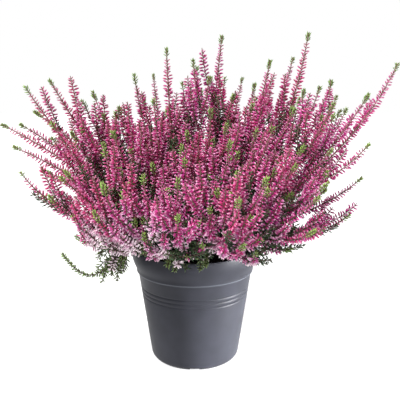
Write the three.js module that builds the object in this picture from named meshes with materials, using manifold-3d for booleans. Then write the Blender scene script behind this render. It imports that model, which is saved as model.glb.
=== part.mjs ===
// A potted bud-flowering heather (Calluna vulgaris): a grey plastic pot, its compost,
// tall and low flowering sprays, and a few leafy sprays over the rim.
// Millimetres, +Z up, +X to the right, +Y to the back. The origin is the middle of the foot, on the ground.
import * as THREE from "three";
import { mergeVertices } from "three/addons/utils/BufferGeometryUtils.js";
import Module from "manifold-3d";

const wasm = await Module();
wasm.setup();

// ---- Pot and compost ----
const POT_HEIGHT = 119.5;
const RIM_RADIUS = 65; // outside of the rim band
const BODY_TOP = { radius: 59.2, z: 95.4 }; // where the tapered body meets the rim band
const BODY_FOOT_RADIUS = 45.5; // the body's taper, carried on down to the ground
const WALL = 1.8;
const FOOT_FILLET = 7; // rounding between the body and the foot ring
const FOOT_RING = { inner: 35, height: 2.6 }; // inside the ring the floor is raised by this height
const NOTCH = { count: 4, length: 24, width: 9.5, height: 1.9 }; // drainage notches through the foot ring
const DRAIN = { count: 4, radius: 4, circle: 22 }; // round drainage holes in the floor
const GROOVES = { top: 79.4, pitch: 4.45, count: 3, width: 2.4, depth: 0.9 };
const POT_SIDES = 28;

const COMPOST_EDGE = 103.5; // height of the compost at the pot's wall
const COMPOST_MIDDLE = 106.5;
const CLEARANCE = 0.3; // between pieces that touch

// ---- Stems ----
const ROOT_HEIGHT = 108.5; // where a stem's straight foot ends and its curve begins
const FOOT_DEPTH = 19; // length of that straight foot
const FOOT_OVERLAP = 2; // how far it reaches up into the curved stem that it is fused to
const FOOT_RADIUS = 1.8;
const HOLE_ABOVE = 12; // the cut for a stem's hole goes on this far above its root, clear of the compost
const CROWN_RADIUS = 42; // the stems leave the compost inside this circle
const TIP_RADIUS = 0.9; // a stem at its growing tip
const GREEN_TIP = { length: 12, reach: 2.7 }; // the leafy growing tip above the buds
const PLAIN_STEP = 30; // between rings where a stem is plain
const RING_TWIST = 20; // degrees that one ring is turned from the next, at most
const BUD_LIFT = 0.55; // how far a bud leans up its stem, as a share of its reach
const BUD_SHRINK = 0.4; // how much shorter the buds at the top of a spike are

// Kinds of spray. sides: side shoots, less one on every third spray; bare: least share of a shoot below its
// first buds or leaves; spike: the longest stretch with them, growing tip included; pitch: from one crossed
// pair to the next; reach: how far they stand out from the stem's middle; startSlope: the least slope in
// degrees at the root, so that the stem passes over the rim; stem: its radius there.
const TALL = { sides: 2, bare: 0.3, spike: 112, pitch: 10, reach: 5.7, startSlope: 44, stem: 1.5 };
const LOW = { sides: 2, bare: 0.34, spike: 90, pitch: 9.5, reach: 5.3, startSlope: 58, stem: 1.4 };
const LEAFY = { sides: 1, bare: 0.16, spike: 160, pitch: 7.5, reach: 3.2, startSlope: 68, stem: 1.3 };

// Tips of the main shoots: right, back, up, the slope in degrees at which the shoot ends, and, where it isn't
// the usual one, the length of the curve's handles as a share of its chord.
const TALL_TIPS = [
  [-197, 8, 244, 28],
  [-166, -36, 202, 60],
  [-176, 26, 282, 58],
  [-140, -12, 288, 62],
  [-104, 14, 277, 70],
  [-60, 4, 294, 82],
  [-26, -22, 317, 88],
  [27, 6, 331, 84],
  [70, -34, 305, 78],
  [110, -4, 332, 82],
  [104, 46, 312, 76],
  [144, 34, 287, 66],
  [164, -30, 275, 62],
  [199, -2, 304, 66],
  [172, 4, 190, 45],
  [158, -12, 156, 50],
  [-128, -60, 250, 60],
  [-114, -92, 206, 48],
  [-70, -84, 244, 68],
  [-72, -126, 206, 80],
  [-40, -122, 212, 80],
  [-12, -130, 211, 80],
  [-10, -88, 232, 78],
  [-36, -58, 270, 80],
  [15, -66, 262, 80],
  [30, -112, 238, 72],
  [68, -86, 248, 68],
  [92, -50, 262, 66],
  [124, -62, 226, 52],
  [58, -136, 212, 60],
  [106, -102, 190, 48],
  [34, -160, 200, 60],
  [-112, 88, 250, 62],
  [-178, -16, 224, 22],
  [-48, 90, 296, 76],
  [2, 84, 288, 82],
  [54, 92, 292, 74],
  [108, 96, 248, 62],
  [150, 84, 196, 46],
  [-98, 140, 188, 50],
  [-36, 162, 206, 56],
  [34, 160, 214, 58],
  [98, 138, 180, 50],
];
const LOW_TIPS = [
  [-80, -88, 166, 72],
  [-42, -106, 160, 84],
  [8, -108, 150, 30],
  [60, -92, 150, 28],
  [100, -68, 150, 28],
  [-108, -58, 152, 28],
  [-84, 84, 146, 24],
  [0, 116, 146, 24],
  [82, 84, 146, 24],
];
const LEAFY_TIPS = [
  [-124, -58, 128, 60, 0.9],
  [-84, -32, 114, -20, 0.5],
  [-24, -78, 120, -38, 0.5],
  [10, -82, 122, -34, 0.5],
  [87, -26, 122, -20, 0.5],
  [-40, 86, 120, -30, 0.5],
];
const USUAL_HANDLE = 0.36;
// Side shoots: where they fork from the main one as a share of its length, how many degrees they spread from
// it, their length as a share of what is left of it, and how far they lean away at the fork and at the tip.
const SIDE = { stem: 1.1, fork: [0.3, 0.44], spread: [15, 22], share: [0.62, 0.88], lean: [0.6, 0.16] };
const MOST_TURN = 22; // degrees that a main shoot's ends turn out of the upright plane through root and tip
// Side shoots end inside this share of the plant's half width and half depth.
const PLANT = { halfWidth: 198, halfDepth: 166, sideShare: 0.88 };

// ---- Helpers ----

const radians = THREE.MathUtils.degToRad;
const UP = new THREE.Vector3(0, 0, 1);

// A repeatable draw from 0 to 1 for spray i and use k.
const draw = (i, k) => {
  const wave = Math.sin(i * 12.9898 + k * 78.233 + 3.1) * 43758.5453;
  return wave - Math.floor(wave);
};

const drawBetween = ([low, high], i, k) => low + (high - low) * draw(i, k);

const solidOf = (geometry) => {
  const bare = geometry.clone();
  bare.deleteAttribute("normal");
  bare.deleteAttribute("uv");
  const merged = mergeVertices(bare, 1e-4);
  return new wasm.Manifold(
    new wasm.Mesh({
      numProp: 3,
      vertProperties: merged.attributes.position.array,
      triVerts: new Uint32Array(merged.index.array),
    }),
  );
};

const geometryOf = (solid) => {
  const mesh = solid.getMesh();
  const geometry = new THREE.BufferGeometry();
  geometry.setAttribute("position", new THREE.BufferAttribute(mesh.vertProperties, 3));
  geometry.setIndex(new THREE.BufferAttribute(mesh.triVerts, 1));
  geometry.computeVertexNormals();
  return geometry;
};

// A solid of revolution about Z, from a profile of [radius, z] points that runs up the outside.
const turned = (profile, sides) => {
  const points = profile.map(([r, z]) => new THREE.Vector2(r, z));
  return new THREE.LatheGeometry(points, sides).rotateX(Math.PI / 2);
};

// ---- Pot ----

const TAPER = Math.atan2(BODY_TOP.radius - BODY_FOOT_RADIUS, BODY_TOP.z);
const bodyRadius = (z) => BODY_FOOT_RADIUS + z * Math.tan(TAPER);

// The rounding from the flat foot up to the tapered body.
const footFillet = (steps) => {
  const middle = bodyRadius(FOOT_FILLET) - FOOT_FILLET / Math.cos(TAPER);
  return Array.from({ length: steps + 1 }, (_, i) => {
    const angle = -Math.PI / 2 + ((Math.PI / 2 - TAPER) * i) / steps;
    return [middle + FOOT_FILLET * Math.cos(angle), FOOT_FILLET * (1 + Math.sin(angle))];
  });
};

// Shallow V grooves in the body, from the lowest up.
const bodyGrooves = () =>
  Array.from({ length: GROOVES.count }, (_, i) => {
    const z = GROOVES.top - (GROOVES.count - 1 - i) * GROOVES.pitch;
    const [low, high] = [z - GROOVES.width / 2, z + GROOVES.width / 2];
    return [
      [bodyRadius(low), low],
      [bodyRadius(z) - GROOVES.depth, z],
      [bodyRadius(high), high],
    ];
  }).flat();

const rimBand = () => [
  [bodyRadius(93.2), 93.2],
  [60.4, 95.2], // bead under the band
  [60.1, 96.6],
  [63, 102], // the band's swept lower half
  [RIM_RADIUS, 111.5],
  [RIM_RADIUS, POT_HEIGHT - 0.7],
  [RIM_RADIUS - 0.7, POT_HEIGHT],
];

// The inside from the lip down to the middle of the floor, moved in by a gap.
const potInside = (gap) => [
  [RIM_RADIUS - WALL - gap, POT_HEIGHT],
  [RIM_RADIUS - WALL - gap, 111.3],
  [58.2 - gap, 97],
  [bodyRadius(8) - WALL - gap, 8 + gap],
  [36.5 - gap, FOOT_RING.height + WALL + gap],
  [0, FOOT_RING.height + WALL + gap],
];

const pot = () => {
  const floor = [
    [0, FOOT_RING.height],
    [FOOT_RING.inner - 0.8, FOOT_RING.height],
    [FOOT_RING.inner, 0],
  ];
  const profile = [...floor, ...footFillet(4), ...bodyGrooves(), ...rimBand(), ...potInside(0)];
  let shell = solidOf(turned(profile, POT_SIDES));
  for (let i = 0; i < NOTCH.count; i++) {
    const notch = new THREE.BoxGeometry(NOTCH.length, NOTCH.width, NOTCH.height * 2)
      .translate(FOOT_RING.inner - 4 + NOTCH.length / 2, 0, 0)
      .rotateZ((i * 2 * Math.PI) / NOTCH.count);
    shell = shell.subtract(solidOf(notch));
  }
  for (let i = 0; i < DRAIN.count; i++) {
    const hole = new THREE.CylinderGeometry(DRAIN.radius, DRAIN.radius, 20, 10)
      .rotateX(Math.PI / 2)
      .translate(DRAIN.circle, 0, 0)
      .rotateZ(((i + 0.5) * 2 * Math.PI) / DRAIN.count);
    shell = shell.subtract(solidOf(hole));
  }
  return geometryOf(shell);
};

// ---- Shoots ----

// Where a shoot with this tip leaves the compost: upright ones near the middle, low ones further out.
const rootOf = ([x, y, z]) => {
  const reach = Math.hypot(x, y);
  const slope = Math.atan2(z - ROOT_HEIGHT, reach);
  const out = CROWN_RADIUS * Math.sqrt(1 - Math.sin(slope));
  return new THREE.Vector3((x / reach) * out, (y / reach) * out, ROOT_HEIGHT);
};

// The curve of main shoot i from its root to its tip. Its two ends turn a little out of the upright plane
// through both.
const mainCurve = (tip, kind, i) => {
  const [x, y, z, endSlope, handleShare = USUAL_HANDLE] = tip;
  const root = rootOf(tip);
  const end = new THREE.Vector3(x, y, z);
  const chord = end.clone().sub(root);
  const flat = new THREE.Vector3(chord.x, chord.y, 0).normalize();
  const chordSlope = THREE.MathUtils.radToDeg(Math.asin(chord.z / chord.length()));
  const startSlope = Math.max(2 * chordSlope - endSlope, kind.startSlope);
  const handle = chord.length() * handleShare;
  const heading = (slope, aside) =>
    flat
      .clone()
      .applyAxisAngle(UP, aside)
      .multiplyScalar(Math.cos(radians(slope)))
      .setZ(Math.sin(radians(slope)));
  const turn = (k) => radians(drawBetween([-MOST_TURN, MOST_TURN], i, k));
  return new THREE.CubicBezierCurve3(
    root,
    root.clone().addScaledVector(heading(startSlope, turn(1)), handle),
    end.clone().addScaledVector(heading(endSlope, turn(2)), -handle),
    end,
  );
};

// A side shoot that forks from a main one part of the way up, leans away from it by the given roll about
// the main shoot, and then runs beside it, a little shorter.
const sideCurve = (main, i, k, roll) => {
  const at = drawBetween(SIDE.fork, i, 10 + k);
  const fork = main.getPoint(at);
  const onward = main.getPoint(1).sub(fork);
  const ahead = onward.clone().normalize();
  const lean = new THREE.Vector3(-onward.y, onward.x, 0).normalize().applyAxisAngle(ahead, roll);
  const spread = radians(drawBetween(SIDE.spread, i, 30 + k));
  const length = onward.length() * drawBetween(SIDE.share, i, 40 + k);
  const tip = fork.clone().addScaledVector(ahead, length * Math.cos(spread));
  tip.addScaledVector(lean, length * Math.sin(spread));
  const start = main.getTangent(at).addScaledVector(lean, SIDE.lean[0]).normalize();
  const end = main.getTangent(1).addScaledVector(lean, SIDE.lean[1]).normalize();
  return new THREE.CubicBezierCurve3(
    fork,
    fork.clone().addScaledVector(start, length * USUAL_HANDLE),
    tip.clone().addScaledVector(end, -length * USUAL_HANDLE),
    tip,
  );
};

// Points along a curve's outer part, beyond where side shoots lie close to the shoot that they fork from.
const OUTER_FROM = 0.3;
const OUTER_STEPS = 10;
const outerPoints = (curve) =>
  Array.from({ length: OUTER_STEPS + 1 }, (_, n) =>
    curve.getPoint(OUTER_FROM + ((1 - OUTER_FROM) * n) / OUTER_STEPS),
  );

// How crowded a curve is by points already taken: near ones count far more than distant ones.
const crowding = (curve, taken) => {
  const { x, y } = curve.getPoint(1);
  if (Math.hypot(x / PLANT.halfWidth, y / PLANT.halfDepth) > PLANT.sideShare) return Infinity;
  let sum = 0;
  for (const p of outerPoints(curve)) {
    for (const q of taken) sum += 1 / p.distanceToSquared(q) ** 2;
  }
  return sum;
};

const ROLLS = 12;
const RIM_POINTS = 36;
const MOST_SIDES = Math.max(TALL.sides, LOW.sides, LEAFY.sides);

// All shoots of all sprays. The main ones come first; each side shoot then takes the roll about its main
// shoot that has the most room, away from the pot's rim too.
const growShoots = (groups) => {
  const taken = Array.from({ length: RIM_POINTS }, (_, n) => {
    const angle = (n * 2 * Math.PI) / RIM_POINTS;
    return new THREE.Vector3(RIM_RADIUS, 0, POT_HEIGHT).applyAxisAngle(UP, angle);
  });
  const sprays = groups.flatMap(({ name, kind, tips }) =>
    tips.map((tip, n) => ({ name: `${name}_${String(n + 1).padStart(2, "0")}`, kind, tip })),
  );
  sprays.forEach((spray, i) => {
    spray.shoots = [mainCurve(spray.tip, spray.kind, i)];
    taken.push(...outerPoints(spray.shoots[0]));
  });
  for (let k = 0; k < MOST_SIDES; k++) {
    sprays.forEach((spray, i) => {
      const sides = spray.kind.sides - (i % 3 === 2 ? 1 : 0);
      if (k >= sides) return;
      const choices = Array.from({ length: ROLLS }, (_, n) =>
        sideCurve(spray.shoots[0], i, k, (n * 2 * Math.PI) / ROLLS),
      );
      const rooms = choices.map((curve) => crowding(curve, taken));
      const best = choices[rooms.indexOf(Math.min(...rooms))];
      spray.shoots.push(best);
      taken.push(...outerPoints(best));
    });
  }
  return sprays;
};

// Four-cornered rings along a shoot: s, its place along the curve in mm; r, the stem's radius there;
// reach, how far every other corner stands out, or 0 where the stem is plain.
const ringsAlong = (length, kind, thick, isSide) => {
  const radiusAt = (s) => thick + (TIP_RADIUS - thick) * (s / length);
  const first = Math.max(length * kind.bare, length - kind.spike);
  const last = length - GREEN_TIP.length;
  const plain = Math.max(2, Math.round(first / PLAIN_STEP));
  const budded = Math.max(3, Math.round((last - first) / kind.pitch));
  const list = [];
  for (let n = isSide ? 1 : 0; n < plain; n++) {
    const s = (first * n) / plain;
    list.push({ s, r: radiusAt(s), reach: 0 });
  }
  for (let n = 0; n <= budded; n++) {
    const s = first + ((last - first) * n) / budded;
    const swell = 1 - BUD_SHRINK * (n / budded) ** 2;
    list.push({ s, r: radiusAt(s), reach: n === 0 || n === budded ? 0 : kind.reach * swell });
  }
  list.push({ s: length - GREEN_TIP.length / 2, r: TIP_RADIUS, reach: GREEN_TIP.reach });
  return list;
};

// A closed solid along a curve: a slim stem whose corners stand out in crossed pairs, as buds or leaves. It
// starts in a point on the curve, so that a side shoot's root is sunk in the stem that it grows from.
const shootGeometry = (curve, rings) => {
  const length = curve.getLength();
  const chord = curve.getPoint(1).sub(curve.getPoint(0));
  const level = new THREE.Vector3(-chord.y, chord.x, 0).normalize();
  const positions = [];
  const indices = [];
  const corner = (k, j) => k * 4 + (j % 4);
  const standsOut = (k, j) => (k + j) % 2 === 0;
  rings.forEach(({ s, r, reach }, k) => {
    const tangent = curve.getTangentAt(s / length);
    const across = level.clone().addScaledVector(tangent, -level.dot(tangent)).normalize();
    const up = tangent.clone().cross(across);
    for (let j = 0; j < 4; j++) {
      const angle = radians(90 * j + 45 + RING_TWIST * Math.sin(k));
      const raised = reach > 0 && standsOut(k, j);
      const out = raised ? reach : r;
      const point = curve.getPointAt(s / length);
      point.addScaledVector(across, out * Math.cos(angle));
      point.addScaledVector(up, out * Math.sin(angle));
      point.addScaledVector(tangent, raised ? reach * BUD_LIFT : 0);
      positions.push(...point.toArray());
    }
  });
  const last = rings.length - 1;
  for (let k = 0; k < last; k++) {
    for (let j = 0; j < 4; j++) {
      const [a, b, c, d] = [corner(k, j), corner(k, j + 1), corner(k + 1, j + 1), corner(k + 1, j)];
      if (standsOut(k, j)) indices.push(a, b, d, b, c, d);
      else indices.push(a, b, c, a, c, d);
    }
  }
  const apex = positions.length / 3;
  positions.push(...curve.getPoint(1).toArray(), ...curve.getPoint(0).toArray());
  for (let j = 0; j < 4; j++) {
    indices.push(corner(last, j), corner(last, j + 1), apex);
    indices.push(corner(0, j + 1), corner(0, j), apex + 1);
  }
  const geometry = new THREE.BufferGeometry();
  geometry.setAttribute("position", new THREE.BufferAttribute(new Float32Array(positions), 3));
  geometry.setIndex(indices);
  return geometry;
};

// The straight square foot of a stem, sunk into the compost.
const stemFoot = (root, radius, below, above) =>
  new THREE.CylinderGeometry(radius, radius, below + above, 4)
    .rotateX(Math.PI / 2)
    .rotateZ(Math.atan2(root.y, root.x) + Math.PI / 4)
    .translate(root.x, root.y, root.z + (above - below) / 2);

// One spray: a main shoot on its foot, with its side shoots, fused.
const sprayGeometry = ({ kind, tip, shoots }) => {
  let solid = solidOf(stemFoot(rootOf(tip), FOOT_RADIUS, FOOT_DEPTH, FOOT_OVERLAP));
  shoots.forEach((curve, n) => {
    const isSide = n > 0;
    const rings = ringsAlong(curve.getLength(), kind, isSide ? SIDE.stem : kind.stem, isSide);
    solid = solid.add(solidOf(shootGeometry(curve, rings)));
  });
  return geometryOf(solid);
};

// ---- Compost ----

const compost = (roots) => {
  const inside = potInside(CLEARANCE).slice(2).reverse();
  const mound = [
    [60.1, COMPOST_EDGE],
    [44, COMPOST_EDGE + 1.2],
    [0, COMPOST_MIDDLE],
  ];
  let block = solidOf(turned([...inside, ...mound], POT_SIDES));
  for (const root of roots) {
    const hole = stemFoot(root, FOOT_RADIUS + CLEARANCE * Math.SQRT2, FOOT_DEPTH + CLEARANCE, HOLE_ABOVE);
    block = block.subtract(solidOf(hole));
  }
  return geometryOf(block);
};

// ---- The whole plant ----

const surface = (color, roughness) => new THREE.MeshStandardMaterial({ color, roughness, metalness: 0 });
const PLASTIC = surface(0x565862, 0.5);
const PEAT = surface(0x241a14, 1);
const BUDS = surface(0xb23a72, 0.6);
const LEAVES = surface(0x4f7a35, 0.6);

const heather = new THREE.Group();
const place = (name, geometry, material) => {
  const mesh = new THREE.Mesh(geometry, material);
  mesh.name = name;
  heather.add(mesh);
};

const sprays = growShoots([
  { name: "tall_flower_spray", kind: TALL, tips: TALL_TIPS },
  { name: "low_flower_spray", kind: LOW, tips: LOW_TIPS },
  { name: "leafy_spray", kind: LEAFY, tips: LEAFY_TIPS },
]);
place("pot", pot(), PLASTIC);
place("compost", compost(sprays.map(({ tip }) => rootOf(tip))), PEAT);
for (const spray of sprays) {
  place(spray.name, sprayGeometry(spray), spray.kind === LEAFY ? LEAVES : BUDS);
}

export default heather;
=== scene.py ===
"""Potted heather: the finished pot, its compost and every flowering and leafy shoot.

The pot and the plant are in millimetres, which become metres where a mesh is made. The lights and the camera
are in metres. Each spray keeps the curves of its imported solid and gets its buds, leaves and twigs on them.
"""

import math

import bmesh
import bpy
import numpy as np
from mathutils import Matrix, Vector, noise


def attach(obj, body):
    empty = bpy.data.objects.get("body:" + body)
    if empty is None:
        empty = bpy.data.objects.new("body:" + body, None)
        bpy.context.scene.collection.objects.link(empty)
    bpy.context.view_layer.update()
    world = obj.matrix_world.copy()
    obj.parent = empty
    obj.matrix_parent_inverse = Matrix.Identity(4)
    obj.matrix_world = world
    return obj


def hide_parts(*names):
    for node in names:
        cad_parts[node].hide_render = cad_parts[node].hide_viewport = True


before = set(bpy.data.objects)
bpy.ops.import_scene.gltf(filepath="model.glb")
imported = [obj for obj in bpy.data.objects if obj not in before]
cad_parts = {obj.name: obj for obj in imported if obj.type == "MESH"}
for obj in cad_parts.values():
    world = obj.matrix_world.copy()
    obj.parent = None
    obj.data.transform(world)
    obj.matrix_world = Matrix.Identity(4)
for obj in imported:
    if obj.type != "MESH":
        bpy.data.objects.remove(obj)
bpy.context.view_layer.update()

MM = 0.001
TINY = 1e-6
UPRIGHT = np.array([0.0, 0.0, 1.0])

# ---- Pot: the main sizes of its solid, with a finer section, shallower grooves and taller notches ----

POT_HEIGHT = 119.5
RIM_RADIUS = 65.0
BODY_TOP_RADIUS = 59.2
BODY_TOP_Z = 95.4
BODY_FOOT_RADIUS = 45.5
WALL = 1.8
FOOT_FILLET = 7.0
FILLET_STEPS = 8
FOOT_RING_INNER = 35.0
FOOT_RING_HEIGHT = 2.6
# The ring's inner edge, from the raised floor down to the ground: out from the inner radius, and height.
FOOT_RING_EDGE = [(-1.4, FOOT_RING_HEIGHT), (-0.6, FOOT_RING_HEIGHT - 0.5), (-0.1, 0.3), (0.3, 0.0)]
NOTCH_COUNT = 4
NOTCH_START = 4.0  # inwards from the ring's inner radius
NOTCH_LENGTH = 24.0
NOTCH_WIDTH = 9.5
NOTCH_HEIGHT = 3.0
DRAIN_COUNT = 4
DRAIN_RADIUS = 4.0
DRAIN_CIRCLE = 22.0
DRAIN_STEPS = 24
DRAIN_TOOL = 20.0  # length of the rod that cuts a drain hole
GROOVE_TOP = 79.4
GROOVE_PITCH = 4.45
GROOVE_COUNT = 3
GROOVE_WIDTH = 3.0
GROOVE_DEPTH = 0.55
GROOVE_ACROSS = (-0.5, -0.38, -0.2, 0.0, 0.2, 0.38, 0.5)  # points of its section, as shares of its width
# The rim band, from the body's top up to where its side is straight: radius and height.
BAND = [
    (58.9, 93.2), (59.0, 93.4), (60.6, 94.9), (60.7, 95.2), (60.8, 96.4), (60.9, 97.8), (61.3, 99.2),
    (61.9, 100.8), (62.7, 102.6), (63.6, 104.8), (64.4, 107.4), (64.9, 110.0), (RIM_RADIUS, 112.5),
]
LIP_OUTSIDE = [(0.0, 0.8), (0.2, 0.25), (0.7, 0.0)]  # in from the rim's radius, and down from its top
LIP_INSIDE = (0.4, 0.5)  # width and height of the rounding on the inside
BAND_INSIDE_Z = 111.3  # where the inside starts to narrow below the lip
BODY_INSIDE = (58.2, 97.0)  # radius and height where the band's inside meets the body's
FLOOR_CORNER_Z = 8.0
FLOOR_RADIUS = 36.5
PAINTED_EDGE_HIGHLIGHT = (94.9, 0.8)  # a painted highlight line along the band's lower edge: height of its middle and half its width
POT_STEPS = 128
SHARP_ABOVE = 28.0  # degrees between two faces

# ---- Compost ----

COMPOST_TOP = [(60.1, 103.5), (52.0, 104.3), (44.0, 104.9), (30.0, 105.9), (14.0, 106.4), (0.0, 106.5)]
COMPOST_GAP = 0.3  # to the pot
COMPOST_STEPS = 96
COMPOST_RING = 2.5  # between rings of the top, about
LUMPS = [(1.1, 0.22), (0.6, 0.6)]  # height in mm, and how many to a mm
CRUMBS = 600
CRUMB_CIRCLE = 59.0
CRUMB_SIZE = (1.2, 3.6)
CRUMB_LONG = 1.4  # a crumb's length for its width
CRUMB_ABOVE = 0.4
COMPOST_SEED = 7

# ---- Shoots: curves with the tips and the rule of their solids, on slimmer stems ----

ROOT_HEIGHT = 108.5
CROWN_RADIUS = 42.0
TIP_RADIUS = 0.45
STEM_SAMPLES = 161  # points that a stem's length is measured by
TUBE_STEP = 8.0
USUAL_HANDLE = 0.36
MOST_TURN = 22.0
SIDE_STEM = 0.9
SIDE_FORK = (0.3, 0.44)
SIDE_SPREAD = (15.0, 22.0)
SIDE_SHARE = (0.62, 0.88)
SIDE_LEAN = (0.6, 0.16)  # how far a side shoot leans away at its fork and at its tip
ONE_LESS_EVERY = 3  # every third spray has a side shoot less
PLANT_HALF_WIDTH = 198.0
PLANT_HALF_DEPTH = 166.0
PLANT_SIDE_SHARE = 0.88
OUTER_FROM = 0.3
OUTER_STEPS = 10
ROLLS = 12
RIM_POINTS = 36
# The steep sine wave that draws come from, and the numbers that keep each use's draws apart.
DRAW_STEPS = (12.9898, 78.233)
DRAW_PHASE = 3.1
DRAW_SCALE = 43758.5453
DRAW_FOR = {"start": 1, "end": 2, "fork": 10, "spread": 30, "share": 40}

# Kinds of spray. sides: the most side shoots; bare: the least share of a shoot below its spike; spike: the
# longest that it may be; start_slope: the least slope in degrees at the root; stem: its radius there.
TALL = {"sides": 2, "bare": 0.3, "spike": 112.0, "start_slope": 44.0, "stem": 1.5, "blooms": True}
LOW = {"sides": 2, "bare": 0.34, "spike": 90.0, "start_slope": 58.0, "stem": 1.4, "blooms": True}
LEAFY = {"sides": 1, "start_slope": 68.0, "stem": 1.3, "blooms": False}
MOST_SIDES = max(kind["sides"] for kind in (TALL, LOW, LEAFY))

# Tips of the main shoots: x, y, z, and the slope in degrees at which the tip points up.
TALL_TIPS = [
    (-197, 8, 244, 28), (-166, -36, 202, 60), (-176, 26, 282, 58), (-140, -12, 288, 62), (-104, 14, 277, 70),
    (-60, 4, 294, 82), (-26, -22, 317, 88), (27, 6, 331, 84), (70, -34, 305, 78), (110, -4, 332, 82),
    (104, 46, 312, 76), (144, 34, 287, 66), (164, -30, 275, 62), (199, -2, 304, 66), (172, 4, 190, 45),
    (158, -12, 156, 50), (-128, -60, 250, 60), (-114, -92, 206, 48), (-70, -84, 244, 68), (-72, -126, 206, 80),
    (-40, -122, 212, 80), (-12, -130, 211, 80), (-10, -88, 232, 78), (-36, -58, 270, 80), (15, -66, 262, 80),
    (30, -112, 238, 72), (68, -86, 248, 68), (92, -50, 262, 66), (124, -62, 226, 52), (58, -136, 212, 60),
    (106, -102, 190, 48), (34, -160, 200, 60), (-112, 88, 250, 62), (-178, -16, 224, 22), (-48, 90, 296, 76),
    (2, 84, 288, 82), (54, 92, 292, 74), (108, 96, 248, 62), (150, 84, 196, 46), (-98, 140, 188, 50),
    (-36, 162, 206, 56), (34, 160, 214, 58), (98, 138, 180, 50),
]
LOW_TIPS = [
    (-80, -88, 166, 72), (-42, -106, 160, 84), (8, -108, 150, 30), (60, -92, 150, 28), (100, -68, 150, 28),
    (-108, -58, 152, 28), (-84, 84, 146, 24), (0, 116, 146, 24), (82, 84, 146, 24),
]
# A leafy shoot's tip has a fifth number, the share of its chord that its handles take.
LEAFY_TIPS = [
    (-124, -58, 128, 60, 0.9), (-84, -32, 114, -20, 0.5), (-24, -78, 120, -38, 0.5),
    (10, -82, 122, -34, 0.5), (87, -26, 122, -20, 0.5), (-40, 86, 120, -30, 0.5),
]

# ---- What grows on the shoots ----

# A pair of values holds at the foot and at the top of a stretch. Ages run from 0, fresh, to 1, old.
PLACE_SPREAD = 0.12  # millimetres along the stem
TURN_SPREAD = 0.16  # radians about it
LIFT_SPREAD = 10.0  # degrees
AGE_SPREAD = 0.1
SEAT = 0.5  # what grows on a stem starts at this share of its radius

BUD_PITCH = 1.55  # between crossed pairs of buds
BUD_TURN = 0.12  # radians that one crossed pair turns on from the last, beyond a quarter
BUDS_FROM = 0.6  # of the stretch below the spike: the lowest buds stand among the upper needles
BUD_LENGTH = (5.8, 5.2)
BUD_WIDTH = (2.2, 1.75)
BUD_LIFT = (6.0, 24.0)  # degrees that a bud leans up along its stem
BUD_GROWN_AT = (0.0, 1 / 6, 0.8, 1.0)  # places along a spike, and how far its buds are grown there
BUD_GROWN = (0.72, 1.0, 1.0, 0.6)
BUD_VARIES = (0.85, 1.12)
BUD_AGE = (0.6, 0.18)
BUD_AGE_CURVE = 1.4
TINT_SPREAD = 0.2
PALE_BELOW = 190.0  # height under which the shaded, older buds pale
PALE_OVER = 60.0  # and how far below it they are palest
PALING_AT = (-70.0, 10.0, 80.0, 130.0)  # from the left to the right of the plant
PALING = (0.62, 0.34, 0.3, 0.0)

SCALE_LEAF = (2.8, 1.0)  # length and width
SCALE_LEAF_LIFT = 48.0
SCALE_LEAF_ABOVE = 0.7
SCALE_LEAF_EVERY = 3

TIP_LEAF = (4.8, 1.7)
TIP_LEAF_PITCH = 1.1
TIP_LEAF_LIFT = (34.0, 70.0)
TIP_LEAF_LIFT_SPREAD = 8.0
TIP_LEAF_SWELL = (0.25, 0.8)  # shares of half a turn of the sine that sizes the leaves
TIP_LEAF_VARIES = (0.85, 1.1)
TIP_LEAF_AGE = (0.16, 0.06)
TIP_LEAF_AGE_SPREAD = 0.06
TIP_END = 0.3  # bare end of the stem
SHORTEST_TIP = 0.3  # leaf size on a growing tip of no length, as a share of a full one's
GREEN_TIP_LENGTH = (6.5, 12.0)
TIP_DULL_AT = (120.0, 150.0, 190.0, 270.0)  # heights, and how much older the tips look there
TIP_DULL = (0.24, 0.0, 0.0, 0.14)

NEEDLE_PITCH = 2.2
NEEDLE_TURN = 0.2
NEEDLE_WIDTH = 1.8
NEEDLE_SWELL = (0.15, 0.9)
NEEDLE_SHORTEST = 0.45  # as a share of the longest
NEEDLE_VARIES = (0.75, 1.15)
# Sorts of needle: the longest in mm, the degrees that they lean up, and their ages.
STEM_NEEDLES = (6.5, 46.0, (0.95, 0.75))
COMB_NEEDLES = (9.0, 28.0, (0.75, 0.5))
BRAID_NEEDLES = (4.6, 40.0, (0.6, 0.35))
INNER_BRAID_NEEDLES = (3.6, 50.0, (0.5, 0.25))
BUDDED_TWIG_NEEDLES = (4.5, 42.0, (0.9, 0.7))
TWIG_NEEDLE = (6.5, 42.0)  # the same for a leafy twig, whose ages its own sort gives
NEEDLES_FROM = (7.0, 3.0)  # bare foot of a main shoot and of a side shoot that flower
COMB = (0.08, 0.7)  # stretches of a leafy shoot, as shares of its length
BRAID_FROM = 0.55
INNER_BRAID_FROM = 0.6
BRAID_END = 6.0
LEAFY_GREEN_TIP = 9.0

TWIG_RADII = (0.6, 0.4)
TWIG_FOOT = 1.5  # bare foot of a twig
TWIG_ROLL = 0.25  # radians that a twig may turn below level, about its stem
TWIG_SPLAY = 0.35  # how far its end still leans away from the stem
LEAFY_TWIG_SPREAD = 0.8  # radians from the stem
BUDDED_TWIG_SPREAD = 0.6
TWIG_BUDS_FROM = 0.25
TWIG_NEEDLES_TO = 0.35
FRESH_TWIG_SHARE = 0.18
FRESH_TWIG_TIP = 9.0
BARE_TWIG_TIP = 0.5

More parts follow.
